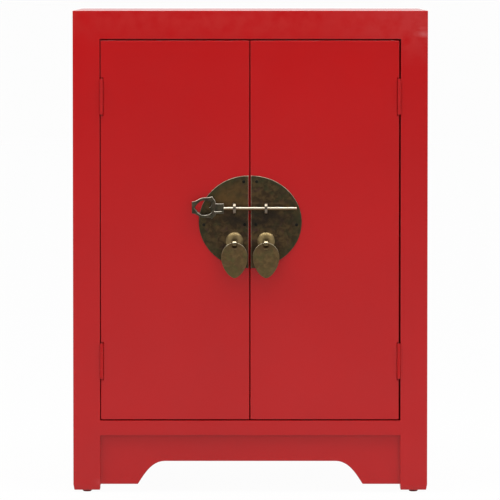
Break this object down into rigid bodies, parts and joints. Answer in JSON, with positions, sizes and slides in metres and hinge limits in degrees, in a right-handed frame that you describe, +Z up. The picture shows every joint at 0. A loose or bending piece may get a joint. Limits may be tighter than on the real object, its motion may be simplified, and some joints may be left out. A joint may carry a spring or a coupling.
{
  "type": "nightstand",
  "caption": "Red lacquered nightstand cabinet in the Chinese manner: hinged doors, round split brass lock plate, sliding bolt with finger loop, leaf pulls, inner shelf and arched apron.",
  "frame": {"origin": "on the floor, in the middle of the rectangle that the cabinet and its front hardware fill", "axes": "+Z up, the front with the doors towards -Y, +X to the right as seen from the front"},
  "size_m": [0.42, 0.3646, 0.5713],
  "materials": {
    "red_lacquer": "satin red lacquer over hardwood",
    "red_inside": "thin flat red paint over board",
    "hinge_paint": "steel hinges painted over in red",
    "glide_paint": "domed steel glides, dark red",
    "aged_brass": "dark mottled antique patina with rubbed edges",
    "worn_brass": "antique brass rubbed bright on high spots"
  },
  "bodies": {
    "cabinet": {"left_front_post": "red_lacquer", "right_front_post": "red_lacquer", "left_rear_post": "red_lacquer", "right_rear_post": "red_lacquer", "front_top_rail": "red_lacquer", "rear_top_rail": "red_lacquer", "left_top_rail": "red_lacquer", "right_top_rail": "red_lacquer", "front_lower_rail": "red_lacquer", "rear_lower_rail": "red_lacquer", "left_lower_rail": "red_lacquer", "right_lower_rail": "red_lacquer", "front_apron": "red_lacquer", "left_apron": "red_lacquer", "right_apron": "red_lacquer", "top_panel": "red_lacquer", "left_side_panel": "red_lacquer", "right_side_panel": "red_lacquer", "back_panel": "red_inside", "bottom_panel": "red_inside", "shelf": "red_inside", "left_shelf_cleat": "red_inside", "right_shelf_cleat": "red_inside", "door_stop": "red_inside", "left_front_glide": "glide_paint", "right_front_glide": "glide_paint", "left_rear_glide": "glide_paint", "right_rear_glide": "glide_paint", "left_upper_hinge_post_leaf": "hinge_paint", "left_upper_hinge_pin": "hinge_paint", "left_lower_hinge_post_leaf": "hinge_paint", "left_lower_hinge_pin": "hinge_paint", "right_upper_hinge_post_leaf": "hinge_paint", "right_upper_hinge_pin": "hinge_paint", "right_lower_hinge_post_leaf": "hinge_paint", "right_lower_hinge_pin": "hinge_paint"},
    "left_door": {"left_door": "red_lacquer", "left_upper_hinge_door_leaf": "hinge_paint", "left_lower_hinge_door_leaf": "hinge_paint", "left_lock_plate": "aged_brass", "left_bolt_staple": "worn_brass", "left_pull_boss": "worn_brass", "left_pull_strap": "worn_brass"},
    "right_door": {"right_door": "red_lacquer", "right_upper_hinge_door_leaf": "hinge_paint", "right_lower_hinge_door_leaf": "hinge_paint", "right_lock_plate": "aged_brass", "right_bolt_staple": "worn_brass", "right_pull_boss": "worn_brass", "right_pull_strap": "worn_brass"},
    "bolt": {"bolt": "worn_brass"},
    "left_pull": {"left_leaf_pull": "aged_brass"},
    "right_pull": {"right_leaf_pull": "aged_brass"}
  },
  "joints": [
    {"name": "left_door_hinge", "type": "hinge", "parent": "cabinet", "child": "left_door", "pos_m": [-0.1762, -0.16815, 0.31295], "axis": [0, 0, -1], "range_deg": [0, 165]},
    {"name": "right_door_hinge", "type": "hinge", "parent": "cabinet", "child": "right_door", "pos_m": [0.1762, -0.16815, 0.31295], "axis": [0, 0, 1], "range_deg": [0, 165]},
    {"name": "bolt_slide", "type": "slide", "parent": "left_door", "child": "bolt", "axis": [-1, 0, 0], "range_m": [-0.009, 0.068]},
    {"name": "left_pull_swing", "type": "hinge", "parent": "left_door", "child": "left_pull", "pos_m": [-0.0187, -0.17895, 0.2962], "axis": [-1, 0, 0], "range_deg": [-10, 150]},
    {"name": "right_pull_swing", "type": "hinge", "parent": "right_door", "child": "right_pull", "pos_m": [0.0187, -0.17895, 0.2962], "axis": [-1, 0, 0], "range_deg": [-10, 150]}
  ]
}
